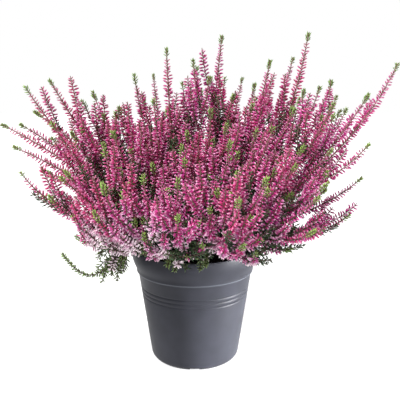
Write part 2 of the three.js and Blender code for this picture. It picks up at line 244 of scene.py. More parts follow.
# Sorts of twig. span: where they leave a stem, as shares of it; length: their own; rise: how far they turn up
# (down if negative); ages: those of a leafy twig's needles.
SHADED = {"span": (0.1, 0.6), "length": (30, 50), "rise": 0.4, "ages": (1.0, 0.7)}
SHADED_FAR_OUT = {**SHADED, "span": (0.1, 0.35)}
LOW_BUDDED = {"span": (0.35, 0.95), "length": (30, 62), "rise": 1.5}
LOW_LEAFY = {"span": (0.3, 0.9), "length": (18, 32), "rise": 0.1, "ages": (0.9, 0.7)}
FRONT_BUDDED = {"span": (0.3, 0.75), "length": (30, 58), "rise": 0.8}
BACK_BUDDED = {**FRONT_BUDDED, "span": (0.2, 0.6)}
LAX_BUDDED = {**FRONT_BUDDED, "span": (0.2, 0.45), "length": (24, 42)}
RIM_LEAFY = {"span": (0.1, 0.5), "length": (14, 24), "rise": 0.1, "ages": (0.8, 0.55)}
RIM_BUDDED = {"span": (0.1, 0.5), "length": (14, 24), "rise": 0.3}
DROOPING_LEAFY = {"length": (16, 28), "rise": -1.2, "ages": (0.65, 0.35)}
DROOPING_BUDDED = {"length": (14, 24), "rise": -0.8}

LEAFY_TWIGS = 9
BUDDED_TWIGS = 3
MIDDLE = 85.0  # tall shoots that end nearer the middle than this have a budded twig more
BEHIND = 20.0  # tall shoots that end further back than this branch lower
FAR_OUT = 140.0  # shoots beyond it to a side have leafy twigs only near their foot, and at the right just one
LAX_BELOW = 250.0  # tall shoots beyond that but lower than this have short budded twigs near their foot
LEAFIER_BEYOND = -20.0  # low shoots further to the right have fewer budded twigs and more leafy ones
LOW_TWIGS = {"left": (6, 0), "right": (1, 6)}  # budded and leafy ones
RIM_TWIGS = (4, 1)  # leafy and budded ones on a leafy shoot
DROOP_BEFORE = -60.0  # leafy shoots further to the left have more twigs, which droop over the rim
DROOPING_TWIGS = (9, 3)
PAST_RIM = 2.0  # where those start beyond the rim's radius
DROOP_SPAN = 26.0  # and the stretch of stem that carries them
FADE_SPREAD = 0.1
EVEN_CAST = 0.5  # between rose red, 0, and violet, 1
CAST_ACROSS = 0.2
CAST_SPREAD = 0.3
FADED = 0.6  # how much older the flowers on a leafy shoot are
SPRAY_SEED = 4000

PETAL, LEAF, BARK = 0, 1, 2  # material slots of a spray

# ---- Finishes ----

# Colours by age.
PETAL_BODY = [
    (0.0, "#B4748A"), (0.2, "#CC5688"), (0.4, "#C02070"),
    (0.62, "#C43A84"), (0.82, "#D488B6"), (1.0, "#EAD4E0"),
]
PETAL_TIP = [(0.0, "#DCAABE"), (0.3, "#ECB8D0"), (0.6, "#F4D0E2"), (1.0, "#FAF4EE")]
LEAF_GREEN = [(0.0, "#9CBC58"), (0.22, "#7E9C50"), (0.5, "#66744A"), (0.75, "#37532F"), (1.0, "#203622")]
# Colours by height and grain.
BARK_BROWN = [(0.1, "#32241C"), (0.45, "#58443A"), (0.8, "#785A50"), (1.0, "#8A685E")]
BARK_HEIGHTS = (110.0, 250.0)  # from old wood to young
# Colours by a pattern's value.
PLASTIC_GREY = [(0.35, "#2B2C32"), (0.65, "#2F3037")]
PEAT_BROWN = [(0.3, "#17120F"), (0.55, "#2E241D"), (0.7, "#4A392B"), (0.8, "#6B5846")]
NOISE_SPAN = {"From Min": 0.3, "From Max": 0.7}  # what nearly all of a noise pattern lies between

# ---- Studio, in metres and degrees ----

WHITE = (1.0, 1.0, 1.0, 1.0)
FLOOR_HALF = 6000.0  # in mm, as the floor is made as the pieces are
FLOOR_GLOW = 0.7
SURROUND_LIGHT = 0.25
SUN_ENERGY = 5.0
SUN_WIDTH = 35.0
SUN_AIM = (0.5, 0.42, -1.0)  # it shines to the right, the back and down
PANEL_ENERGY = 2.4
PANEL_SIZE = 0.3
PANEL_SPREAD = 25.0
PANEL_AT = (0.85, -0.24, 0.06)
PANEL_AIM = (0.0, 0.0, -0.04)
CAMERA_AT = (0.0054, -0.560, 0.278)
CAMERA_PITCH = 78.8  # up from straight down
CAMERA_LENS = 50.0
CAMERA_SENSOR = 36.0


# ---- Small helpers ----


def unit(vectors):
    """Vectors, one or many, at length 1."""
    vectors = np.asarray(vectors, float)
    return vectors / np.linalg.norm(vectors, axis=-1, keepdims=True)


def draw(i, k):
    """A repeatable draw from 0 to 1 for spray i and use k, the same as for its solid."""
    wave = math.sin(i * DRAW_STEPS[0] + k * DRAW_STEPS[1] + DRAW_PHASE) * DRAW_SCALE
    return wave - math.floor(wave)


def blend(pair, share):
    return pair[0] + (pair[1] - pair[0]) * share


def draw_between(pair, i, k):
    return blend(pair, draw(i, k))


def bezier(curve, t):
    t = np.atleast_1d(t)[:, None]
    weights = np.hstack([(1 - t) ** 3, 3 * (1 - t) ** 2 * t, 3 * (1 - t) * t**2, t**3])
    return weights @ curve


def bezier_heading(curve, t):
    t = np.atleast_1d(t)[:, None]
    weights = np.hstack([(1 - t) ** 2, 2 * (1 - t) * t, t**2])
    return unit(weights @ np.diff(curve, axis=0))


def turned_about(axis, vector, angle):
    """A vector square to a unit axis, turned about it."""
    return vector * math.cos(angle) + np.cross(axis, vector) * math.sin(angle)


# ---- The shoots' curves ----


def root_of(tip):
    """Where a shoot leaves the compost: upright ones near the middle, low ones further out."""
    reach = math.hypot(tip[0], tip[1])
    slope = math.atan2(tip[2] - ROOT_HEIGHT, reach)
    out = CROWN_RADIUS * math.sqrt(1 - math.sin(slope))
    return np.array([tip[0] / reach * out, tip[1] / reach * out, ROOT_HEIGHT])


def main_curve(tip, kind, i):
    """The curve of main shoot i from its root to its tip."""
    handle_share = tip[4] if len(tip) > 4 else USUAL_HANDLE
    end_slope = tip[3]
    root = root_of(tip)
    end = np.array(tip[:3], float)
    chord = end - root
    flat = unit([chord[0], chord[1], 0.0])
    handle = np.linalg.norm(chord) * handle_share
    chord_slope = math.degrees(math.asin(chord[2] / np.linalg.norm(chord)))
    start_slope = max(2 * chord_slope - end_slope, kind["start_slope"])

    def heading(slope, k):
        aside = math.radians(draw_between((-MOST_TURN, MOST_TURN), i, k))
        ahead = turned_about(UPRIGHT, flat, aside) * math.cos(math.radians(slope))
        return ahead + UPRIGHT * math.sin(math.radians(slope))

    start_handle = heading(start_slope, DRAW_FOR["start"]) * handle
    end_handle = heading(end_slope, DRAW_FOR["end"]) * handle
    return np.array([root, root + start_handle, end - end_handle, end])


def side_curve(main, i, k, roll):
    """A side shoot that leans away from its main one by the given roll, then runs beside it."""
    at = draw_between(SIDE_FORK, i, DRAW_FOR["fork"] + k)
    fork = bezier(main, at)[0]
    onward = main[3] - fork
    ahead = unit(onward)
    lean = turned_about(ahead, unit([-onward[1], onward[0], 0.0]), roll)
    spread = math.radians(draw_between(SIDE_SPREAD, i, DRAW_FOR["spread"] + k))
    length = np.linalg.norm(onward) * draw_between(SIDE_SHARE, i, DRAW_FOR["share"] + k)
    tip = fork + ahead * length * math.cos(spread) + lean * length * math.sin(spread)
    start = unit(bezier_heading(main, at)[0] + lean * SIDE_LEAN[0])
    end = unit(bezier_heading(main, 1.0)[0] + lean * SIDE_LEAN[1])
    handle = length * USUAL_HANDLE
    return np.array([fork, fork + start * handle, tip - end * handle, tip])


def outer_points(curve):
    return bezier(curve, OUTER_FROM + (1 - OUTER_FROM) * np.arange(OUTER_STEPS + 1) / OUTER_STEPS)


def crowding(curve, taken):
    """How crowded a curve is by points already taken: near ones count far more than distant ones."""
    x, y = curve[3][:2]
    if math.hypot(x / PLANT_HALF_WIDTH, y / PLANT_HALF_DEPTH) > PLANT_SIDE_SHARE:
        return math.inf
    gaps = outer_points(curve)[:, None, :] - taken[None, :, :]
    return (1 / (gaps**2).sum(axis=2) ** 2).sum()


def grow_sprays():
    """Every spray with the curves of its main shoot and side shoots."""
    sprays = []
    for name, kind, tips in (
        ("tall_flower_spray", TALL, TALL_TIPS),
        ("low_flower_spray", LOW, LOW_TIPS),
        ("leafy_spray", LEAFY, LEAFY_TIPS),
    ):
        for n, tip in enumerate(tips):
            sprays.append({"name": f"{name}_{n + 1:02d}", "kind": kind, "tip": tip})
    angles = np.arange(RIM_POINTS) * 2 * math.pi / RIM_POINTS
    heights = np.full(RIM_POINTS, POT_HEIGHT)
    taken = [np.stack([RIM_RADIUS * np.cos(angles), RIM_RADIUS * np.sin(angles), heights], 1)]
    for i, spray in enumerate(sprays):
        spray["curves"] = [main_curve(spray["tip"], spray["kind"], i)]
        taken.append(outer_points(spray["curves"][0]))
    for k in range(MOST_SIDES):
        for i, spray in enumerate(sprays):
            missing = 1 if i % ONE_LESS_EVERY == ONE_LESS_EVERY - 1 else 0
            if k >= spray["kind"]["sides"] - missing:
                continue
            main = spray["curves"][0]
            choices = [side_curve(main, i, k, n * 2 * math.pi / ROLLS) for n in range(ROLLS)]
            so_far = np.concatenate(taken)
            best = min(choices, key=lambda curve: crowding(curve, so_far))
            spray["curves"].append(best)
            taken.append(outer_points(best))
    return sprays


class Stem:
    """A stem along a cubic curve, thinning evenly from its foot to its tip."""

    def __init__(self, curve, thick, tip_radius=TIP_RADIUS):
        self.curve = curve
        self.thick = thick
        self.tip_radius = tip_radius
        self.t = np.linspace(0, 1, STEM_SAMPLES)
        steps = np.linalg.norm(np.diff(bezier(curve, self.t), axis=0), axis=1)
        self.s = np.concatenate([[0.0], np.cumsum(steps)])
        self.length = self.s[-1]

    def radius(self, s):
        return self.thick + (self.tip_radius - self.thick) * np.asarray(s) / self.length

    def at(self, s):
        """The points, headings and two directions across, at distances s along the stem."""
        t = np.interp(s, self.s, self.t)
        points = bezier(self.curve, t)
        ahead = bezier_heading(self.curve, t)
        chord = self.curve[3] - self.curve[0]
        level = unit([-chord[1] + TINY, chord[0], 0.0])
        across = unit(level - (ahead @ level)[:, None] * ahead)
        return points, ahead, across, np.cross(ahead, across)


# ---- Shapes that are stamped many times: a bud and a leaf 1 long along Z, and a crumb 1 across ----


def arrays_of(shape):
    """A bmesh's corners and triangles as arrays. It frees the bmesh."""
    bmesh.ops.triangulate(shape, faces=shape.faces[:])
    shape.verts.index_update()
    corners = np.array([v.co for v in shape.verts])
    faces = np.array([[v.index for v in f.verts] for f in shape.faces])
    shape.free()
    return corners, faces


def stamped_shape(sides, rings, profile):
    """A closed spindle: a ball's rings moved to the given heights and widths, as arrays."""
    shape = bmesh.new()
    bmesh.ops.create_uvsphere(shape, u_segments=sides, v_segments=rings, radius=1.0)
    levels = sorted({round(v.co.z, 4) for v in shape.verts})
    rows = [[v for v in shape.verts if round(v.co.z, 4) == level] for level in levels]
    for row, (height, width) in zip(rows, profile):
        wide = max(math.hypot(v.co.x, v.co.y) for v in row)
        size = 0.5 * width / wide if wide > TINY else 1.0
        bmesh.ops.scale(shape, vec=(size, size, 0.0), verts=row)
        bmesh.ops.translate(shape, vec=(0.0, 0.0, height), verts=row)
    bmesh.ops.recalc_face_normals(shape, faces=shape.faces[:])
    return arrays_of(shape)


def crumb_shape():
    """A lump of compost."""
    shape = bmesh.new()
    bmesh.ops.create_icosphere(shape, subdivisions=1, radius=0.5)
    return arrays_of(shape)


BUD_SHAPE = stamped_shape(4, 3, [(0.0, 0.0), (0.32, 0.9), (0.78, 0.8), (1.0, 0.0)])
LEAF_SHAPE = stamped_shape(3, 2, [(0.0, 0.0), (0.42, 1.0), (1.0, 0.0)])
CRUMB_SHAPE = crumb_shape()


def stamp(shape, place, material, smooth):
    """Copies of a shape at every place, as arrays for a mesh."""
    corners, faces = shape
    foot, ahead, side, length, width, age, tint = place
    third = np.cross(ahead, side)
    spread = corners[None, :, 0, None] * side[:, None, :] + corners[None, :, 1, None] * third[:, None, :]
    points = foot[:, None, :] + spread * width[:, None, None]
    points = points + corners[None, :, 2, None] * (ahead * length[:, None])[:, None, :]
    count, size = len(foot), len(corners)
    return {
        "points": points.reshape(-1, 3),
        "faces": (faces[None] + np.arange(count)[:, None, None] * size).reshape(-1, 3),
        "material": material,
        "smooth": smooth,
        "along": np.tile(corners[:, 2], count),
        "age": np.repeat(age, size),
        "tint": np.repeat(tint, size),
    }


def places_on(stem, s, angle, lift, size, age, tint):
    """Where things grow on a stem: at distances s, turned by angle and leaning up by lift degrees."""
    points, ahead, across, up = stem.at(s)
    lift = np.radians(lift)
    cos, sin = np.cos(angle)[:, None], np.sin(angle)[:, None]
    out = across * cos + up * sin
    side = up * cos - across * sin
    aim = out * np.cos(lift)[:, None] + ahead * np.sin(lift)[:, None]
    foot = points + out * (stem.radius(s) * SEAT)[:, None]
    return foot, aim, side, size[0], size[1], np.clip(age, 0, 1), np.clip(tint, 0, 1)


def pairs_along(first, last, pitch, turn, chance):
    """Distances, angles and shares of the way for crossed pairs between two distances along a stem."""
    count = max(1, int((last - first) / pitch))
    at = np.repeat(first + pitch * np.arange(count), 2) + chance.normal(0, PLACE_SPREAD, 2 * count)
    half = np.tile([0.0, math.pi], count)
    angle = chance.random() * math.pi + np.repeat(np.arange(count), 2) * (math.pi / 2 + turn) + half
    share = np.clip((at - first) / (last - first), 0, 1)
    return at, angle + chance.normal(0, TURN_SPREAD, 2 * count), share


def budded(stem, first, last, fade, cast, chance):
    """Buds in crossed pairs, older and paler the lower they are, with brown scale leaves between them."""
    s, angle, share = pairs_along(first, last, BUD_PITCH, BUD_TURN, chance)
    count = len(s)
    x, _, z = stem.at(s)[0].T
    size = np.interp(share, BUD_GROWN_AT, BUD_GROWN) * chance.uniform(*BUD_VARIES, count)
    shade = np.clip((PALE_BELOW - z) / PALE_OVER, 0, 1) * np.interp(x, PALING_AT, PALING)
    buds = places_on(
        stem,
        s,
        angle,
        blend(BUD_LIFT, share) + chance.normal(0, LIFT_SPREAD, count),
        (blend(BUD_LENGTH, share) * size, blend(BUD_WIDTH, share) * size),
        blend(BUD_AGE, share**BUD_AGE_CURVE) + fade + shade + chance.normal(0, AGE_SPREAD, count),
        cast + chance.normal(0, TINT_SPREAD, count),
    )
    some = slice(None, None, SCALE_LEAF_EVERY)
    even = np.ones(len(s[some]))
    scale_leaves = places_on(
        stem,
        s[some] + SCALE_LEAF_ABOVE,
        angle[some] + math.pi / 2,
        SCALE_LEAF_LIFT * even,
        (SCALE_LEAF[0] * even, SCALE_LEAF[1] * even),
        0 * even,
        0 * even,
    )
    return [stamp(BUD_SHAPE, buds, PETAL, False), stamp(LEAF_SHAPE, scale_leaves, BARK, True)]


def growing_tip(stem, first, chance):
    """The fresh green end of a shoot: pointed leaves in crossed pairs that close up towards the end."""
    s, angle, share = pairs_along(first, stem.length - TIP_END, TIP_LEAF_PITCH, 0.0, chance)
    count = len(s)
    full = min(1.0, SHORTEST_TIP + (stem.length - first) / GREEN_TIP_LENGTH[1])
    swell = np.sin(np.pi * blend(TIP_LEAF_SWELL, share))
    size = full * swell * chance.uniform(*TIP_LEAF_VARIES, count)
    dull = np.interp(stem.at(s)[0][:, 2], TIP_DULL_AT, TIP_DULL)
    tip_leaves = places_on(
        stem,
        s,
        angle,
        blend(TIP_LEAF_LIFT, share) + chance.normal(0, TIP_LEAF_LIFT_SPREAD, count),
        (TIP_LEAF[0] * size, TIP_LEAF[1] * size),
        blend(TIP_LEAF_AGE, share) + dull + chance.normal(0, TIP_LEAF_AGE_SPREAD, count),
        chance.random(count),
    )
    return stamp(LEAF_SHAPE, tip_leaves, LEAF, True)


def leafy_stretch(stem, first, last, longest, lift, ages, chance):
    """Needle-like leaves in crossed pairs, longest in the middle of the stretch."""
    s, angle, share = pairs_along(first, last, NEEDLE_PITCH, NEEDLE_TURN, chance)
    count = len(s)
    swell = np.sin(np.pi * blend(NEEDLE_SWELL, share))
    length = blend((NEEDLE_SHORTEST, 1.0), swell) * longest
    needles = places_on(
        stem,
        s,
        angle,
        lift + chance.normal(0, LIFT_SPREAD, count),
        (length * chance.uniform(*NEEDLE_VARIES, count), NEEDLE_WIDTH * np.ones(count)),
        blend(ages, share) + chance.normal(0, AGE_SPREAD, count),
        chance.random(count),
    )
    return stamp(LEAF_SHAPE, needles, LEAF, True)


def twig_curve(stem, s, length, spread, rise, chance):
    """A twig's curve: it leaves a stem at an angle, then turns up by rise, or down by a negative one."""
    points, ahead, across, up = stem.at(np.array([s]))
    roll = chance.uniform(-TWIG_ROLL, math.pi + TWIG_ROLL)
    toward = up[0] if up[0][2] * rise > 0 else -up[0]
    out = across[0] * math.cos(roll) + toward * math.sin(roll)
    start = unit(ahead[0] * math.cos(spread) + out * math.sin(spread))
    end = unit(ahead[0] + out * TWIG_SPLAY + UPRIGHT * rise)
    tip = points[0] + unit(start + end) * length
    start_handle = start * length * USUAL_HANDLE
    end_handle = end * length * USUAL_HANDLE
    return np.array([points[0], points[0] + start_handle, tip - end_handle, tip])


def plain_batch(shape, material):
    """A bmesh as arrays for a mesh, with nothing to tell its parts apart. It frees the bmesh."""
    points, faces = arrays_of(shape)
    plain = dict.fromkeys(("along", "age", "tint"), np.zeros(len(points)))
    return {"points": points, "faces": faces, "material": material, "smooth": True, **plain}


def tubes(stems):
    """All stems of a spray as round tubes, in arrays for a mesh."""
    data = bpy.data.curves.new("tubes", "CURVE")
    data.dimensions = "3D"
    data.bevel_depth = 1.0
    data.bevel_resolution = 1
    data.use_fill_caps = True
    for stem in stems:
        count = max(3, round(stem.length / TUBE_STEP) + 1)
        s = np.linspace(0, stem.length, count)
        spline = data.splines.new("POLY")
        spline.points.add(count - 1)
        spline.points.foreach_set("co", np.c_[stem.at(s)[0], np.ones(count)].ravel())
        spline.points.foreach_set("radius", stem.radius(s))
    holder = bpy.data.objects.new("tubes", data)
    round_mesh = bpy.data.meshes.new_from_object(holder)
    shape = bmesh.new()
    shape.from_mesh(round_mesh)
    bpy.data.objects.remove(holder)
    bpy.data.curves.remove(data)
    bpy.data.meshes.remove(round_mesh)
    return plain_batch(shape, BARK)


def placed(name, data):
    """A new object in the scene."""
    made = bpy.data.objects.new(name, data)
    bpy.context.scene.collection.objects.link(made)
    return made


def mesh_of(name, batches, materials):
    """One object from batches of triangles, with their ages, tints and places along each leaf or bud."""
    mesh = bpy.data.meshes.new(name)
    starts = np.cumsum([0] + [len(b["points"]) for b in batches])
    points = np.concatenate([b["points"] for b in batches]) * MM
    faces = np.concatenate([b["faces"] + start for b, start in zip(batches, starts)])
    mesh.vertices.add(len(points))
    mesh.vertices.foreach_set("co", points.ravel())
    mesh.loops.add(faces.size)
    mesh.loops.foreach_set("vertex_index", faces.ravel().astype(np.int32))
    mesh.polygons.add(len(faces))
    mesh.polygons.foreach_set("loop_start", np.arange(0, faces.size, 3, dtype=np.int32))
    for setting, key, sort in (("material_index", "material", np.int32), ("use_smooth", "smooth", bool)):
        values = [np.full(len(b["faces"]), b[key], sort) for b in batches]
        mesh.polygons.foreach_set(setting, np.concatenate(values))
    for key in ("along", "age", "tint"):
        layer = mesh.attributes.new(key, "FLOAT", "POINT")
        layer.data.foreach_set("value", np.concatenate([b[key] for b in batches]).astype(np.float32))
    for material in materials:
        mesh.materials.append(material)
    mesh.update()
    mesh.validate()
    return placed(name, mesh)


# ---- Materials ----


def colour(code):
    """An sRGB hex value as a linear colour."""
    parts = [int(code[n : n + 2], 16) / 255 for n in (1, 3, 5)]
    return [c / 12.92 if c <= 0.04045 else ((c + 0.055) / 1.055) ** 2.4 for c in parts] + [1.0]


def per_size(size):
    """The scale that makes a pattern's features this many millimetres on Object coordinates."""
    return 1 / (size * MM)


def add_node(tree, kind, settings=None, inputs=None):
    """Add a node. Settings go on the node, stops on its ramp, and inputs are values or sockets to link."""
    node = tree.nodes.new(kind)
    for key, value in (settings or {}).items():
        if key == "stops":
            ramp = node.color_ramp
            while len(ramp.elements) < len(value):
                ramp.elements.new(1.0)
            for element, (position, code) in zip(ramp.elements, value):
                element.position = position
                element.color = colour(code)
        else:
            setattr(node, key, value)
    for key, value in (inputs or {}).items():
        if isinstance(value, bpy.types.NodeSocket):
            tree.links.new(value, node.inputs[key])
        else:
            node.inputs[key].default_value = value
    return node


def new_material(name):
    """An empty material with its Principled shader."""
    material = bpy.data.materials.new(name)
    material.use_nodes = True
    tree = material.node_tree
    tree.nodes.clear()
    shader = add_node(tree, "ShaderNodeBsdfPrincipled")
    add_node(tree, "ShaderNodeOutputMaterial", inputs={"Surface": shader.outputs["BSDF"]})
    return material, tree, shader


def grained_material(name, size, detail, roughness, relief=None):
    """A material with a grain of this many millimetres, rougher where the grain's value is higher.

    Where it has relief, that is a bump's strength and its height in millimetres.
    """
    material, tree, shader = new_material(name)
    place = add_node(tree, "ShaderNodeTexCoord").outputs["Object"]
    pattern = {"Vector": place, "Scale": per_size(size), "Detail": detail}
    grain = add_node(tree, "ShaderNodeTexNoise", inputs=pattern).outputs["Fac"]
    span = {**NOISE_SPAN, "To Min": roughness[0], "To Max": roughness[1]}
    rough = add_node(tree, "ShaderNodeMapRange", inputs={"Value": grain, **span})
    tree.links.new(rough.outputs[0], shader.inputs["Roughness"])
    if relief:
        height = {"Height": grain, "Strength": relief[0], "Distance": relief[1] * MM}
        bump = add_node(tree, "ShaderNodeBump", inputs=height)
        tree.links.new(bump.outputs["Normal"], shader.inputs["Normal"])
    return material, tree, shader, place, grain


def petals():
    """Dry papery petals with little shine and paler tips: dusty rose, crimson, then lilac white with age."""
    material, tree, shader, _, mottle = grained_material("heather_petals", 1.5, 2.0, (0.45, 0.65))
    age, along, tint = (
        add_node(tree, "ShaderNodeAttribute", {"attribute_name": name}).outputs["Fac"]
        for name in ("age", "along", "tint")
    )
    body = add_node(tree, "ShaderNodeValToRGB", {"stops": PETAL_BODY}, {"Fac": age})
    edge = add_node(tree, "ShaderNodeValToRGB", {"stops": PETAL_TIP}, {"Fac": age})
    outer = add_node(
        tree, "ShaderNodeMapRange", {"interpolation_type": "SMOOTHSTEP"}, {"Value": along, "From Min": 0.55}
    )
    some = add_node(tree, "ShaderNodeMapRange", inputs={"Value": tint, "To Min": 0.5, "To Max": 1.0})
    share = add_node(
        tree, "ShaderNodeMath", {"operation": "MULTIPLY"}, {0: outer.outputs[0], 1: some.outputs[0]}
    )
    tipped = add_node(
        tree,
        "ShaderNodeMix",
        {"data_type": "RGBA"},
        {"Factor": share.outputs[0], "A": body.outputs["Color"], "B": edge.outputs["Color"]},
    )
    # Petals differ within a bud, so it is not one even tone.
    bright = add_node(
        tree, "ShaderNodeMapRange", inputs={"Value": mottle, **NOISE_SPAN, "To Min": 0.7, "To Max": 1.3}
    )
    # Some buds lean to rose red and some to violet.
    hue = add_node(tree, "ShaderNodeMapRange", inputs={"Value": tint, "To Min": 0.51, "To Max": 0.474})
    toned = add_node(
        tree,
        "ShaderNodeHueSaturation",
        inputs={"Hue": hue.outputs[0], "Value": bright.outputs[0], "Color": tipped.outputs["Result"]},
    )
    # A bud sits in small brownish green sepals.
    foot = add_node(
        tree,
        "ShaderNodeMapRange",
        inputs={"Value": along, "From Min": 0.05, "From Max": 0.4, "To Min": 0.85, "To Max": 0.0},
    )
    whole = add_node(
        tree,
        "ShaderNodeMix",
        {"data_type": "RGBA"},
        {"Factor": foot.outputs[0], "A": toned.outputs["Color"], "B": colour("#5E5238")},
    )
    tree.links.new(whole.outputs["Result"], shader.inputs["Base Color"])
    shader.inputs["Specular IOR Level"].default_value = 0.35
    return material


def leaves():
    """Scale leaves of heather: waxy, yellow-green where fresh, and dark bottle green where old."""
    material, tree, shader, _, mottle = grained_material("heather_leaves", 2.0, 2.0, (0.38, 0.58))
    age, tint = (
        add_node(tree, "ShaderNodeAttribute", {"attribute_name": name}).outputs["Fac"]
        for name in ("age", "tint")
    )
    tone = add_node(tree, "ShaderNodeValToRGB", {"stops": LEAF_GREEN}, {"Fac": age})
    # Leaves differ along their length, and one from the next.
    uneven = add_node(tree, "ShaderNodeMath", {"operation": "ADD"}, {0: mottle, 1: tint})
    bright = add_node(
        tree,
        "ShaderNodeMapRange",
        inputs={"Value": uneven.outputs[0], "From Min": 0.4, "From Max": 1.6, "To Min": 0.65, "To Max": 1.3},
    )
    toned = add_node(
        tree, "ShaderNodeHueSaturation", inputs={"Value": bright.outputs[0], "Color": tone.outputs["Color"]}
    )
    tree.links.new(toned.outputs["Color"], shader.inputs["Base Color"])
    return material


def bark():
    """Thin woody stems: dry and rough, dark brown at the root and a paler pinkish brown where young."""
    material, tree, shader, place, grain = grained_material("heather_bark", 1.2, 3.0, (0.6, 0.85), (0.4, 0.2))
    height = add_node(tree, "ShaderNodeSeparateXYZ", inputs={"Vector": place}).outputs["Z"]
    low, high = BARK_HEIGHTS
    share = add_node(
        tree, "ShaderNodeMapRange", inputs={"Value": height, "From Min": low * MM, "From Max": high * MM}
    )
    mixed = add_node(
        tree, "ShaderNodeMath", {"operation": "MULTIPLY_ADD"}, {0: grain, 1: 0.5, 2: share.outputs[0]}
    )
    tone = add_node(tree, "ShaderNodeValToRGB", {"stops": BARK_BROWN}, {"Fac": mixed.outputs[0]})
    tree.links.new(tone.outputs["Color"], shader.inputs["Base Color"])
    return material


def pot_plastic():
    """Injection-moulded polypropylene: an even anthracite with a dull sheen over a fine moulded grain."""
    # The moulded grain is about 0.1 mm; it is drawn at 0.5 mm so that it shows.
    material, tree, shader, place, _ = grained_material(
        "moulded_polypropylene", 0.5, 2.0, (0.42, 0.52), (0.15, 0.1)
    )
    # Flow of the melt shows as a faint cloudiness over about 18 mm.
    cloud = add_node(
        tree, "ShaderNodeTexNoise", inputs={"Vector": place, "Scale": per_size(18.0), "Detail": 2.0}
    )
    tone = add_node(tree, "ShaderNodeValToRGB", {"stops": PLASTIC_GREY}, {"Fac": cloud.outputs["Fac"]})
    # A painted highlight: the lower edge of the band is drawn as a paler line, where a bead would catch the
    # light.
    height = add_node(tree, "ShaderNodeSeparateXYZ", inputs={"Vector": place})
    edge = add_node(
        tree,
        "ShaderNodeMath",
        {"operation": "COMPARE"},
        {0: height.outputs["Z"], 1: PAINTED_EDGE_HIGHLIGHT[0] * MM, 2: PAINTED_EDGE_HIGHLIGHT[1] * MM},
    )
    painted_highlight = add_node(
        tree,
        "ShaderNodeMix",
        {"data_type": "RGBA"},
        {"Factor": edge.outputs[0], "A": tone.outputs["Color"], "B": colour("#4A4D54")},
    )
    tree.links.new(painted_highlight.outputs["Result"], shader.inputs["Base Color"])
    shader.inputs["Specular IOR Level"].default_value = 0.12
    return material


def peat():
    """Damp peat compost: near black fibres and crumbs with a few paler bits."""
    material, tree, shader, _, crumb = grained_material(
        "damp_peat_compost", 2.5, 4.0, (0.75, 0.95), (0.7, 0.8)
    )
    tone = add_node(tree, "ShaderNodeValToRGB", {"stops": PEAT_BROWN}, {"Fac": crumb})
    tree.links.new(tone.outputs["Color"], shader.inputs["Base Color"])
    return material


def pale_light_table():
    """The floor: a matt pale sheet lit softly from below, so that the shadow on it stays faint."""
    material, _, shader = new_material("pale_light_table")
    shader.inputs["Base Color"].default_value = colour("#B0B0B0")
    shader.inputs["Roughness"].default_value = 0.9
    shader.inputs["Emission Color"].default_value = WHITE
    shader.inputs["Emission Strength"].default_value = FLOOR_GLOW
    return material


# ---- Pot and compost ----

TAPER = math.atan2(BODY_TOP_RADIUS - BODY_FOOT_RADIUS, BODY_TOP_Z)


def body_radius(z):
    return BODY_FOOT_RADIUS + z * math.tan(TAPER)


def pot_outside():
    """The outside from the middle of the floor's underside up to the lip, as radius and height."""
    profile = [(0.0, FOOT_RING_HEIGHT)] + [(FOOT_RING_INNER + out, z) for out, z in FOOT_RING_EDGE]
    middle = body_radius(FOOT_FILLET) - FOOT_FILLET / math.cos(TAPER)
    for n in range(FILLET_STEPS + 1):
        angle = -math.pi / 2 + (math.pi / 2 - TAPER) * n / FILLET_STEPS
        profile.append((middle + FOOT_FILLET * math.cos(angle), FOOT_FILLET * (1 + math.sin(angle))))
    for n in range(GROOVE_COUNT):
        z = GROOVE_TOP - (GROOVE_COUNT - 1 - n) * GROOVE_PITCH
        for share in GROOVE_ACROSS:
            depth = GROOVE_DEPTH * math.cos(math.pi * share) ** 2
            profile.append((body_radius(z + GROOVE_WIDTH * share) - depth, z + GROOVE_WIDTH * share))
    return profile + BAND + [(RIM_RADIUS - inward, POT_HEIGHT - down) for inward, down in LIP_OUTSIDE]


def pot_inside(gap):
    """The inside from the lip down to the middle of the floor, moved in by a gap."""
    radius = RIM_RADIUS - WALL - gap
    floor_z = FOOT_RING_HEIGHT + WALL + gap
    return [
        (radius + LIP_INSIDE[0], POT_HEIGHT),
        (radius, POT_HEIGHT - LIP_INSIDE[1]),
        (radius, BAND_INSIDE_Z),
        (BODY_INSIDE[0] - gap, BODY_INSIDE[1]),
        (body_radius(FLOOR_CORNER_Z) - WALL - gap, FLOOR_CORNER_Z + gap),
        (FLOOR_RADIUS - gap, floor_z),
        (0.0, floor_z),
    ]


def spun(profile, steps):
    """A closed solid of revolution about Z."""
    shape = bmesh.new()
    line = [shape.verts.new((r, 0.0, z)) for r, z in profile]
    edges = [shape.edges.new(pair) for pair in zip(line, line[1:])]
    bmesh.ops.spin(
        shape, geom=line + edges, cent=(0, 0, 0), axis=(0, 0, 1), angle=2 * math.pi, steps=steps, use_merge=True
    )
    bmesh.ops.remove_doubles(shape, verts=shape.verts[:], dist=1e-4)
    bmesh.ops.recalc_face_normals(shape, faces=shape.faces[:])
    return shape


def object_from(name, shape):
    """An object from a bmesh in millimetres."""
    bmesh.ops.scale(shape, vec=(MM, MM, MM), verts=shape.verts[:])
    mesh = bpy.data.meshes.new(name)
    shape.to_mesh(mesh)
    shape.free()
    return placed(name, mesh)


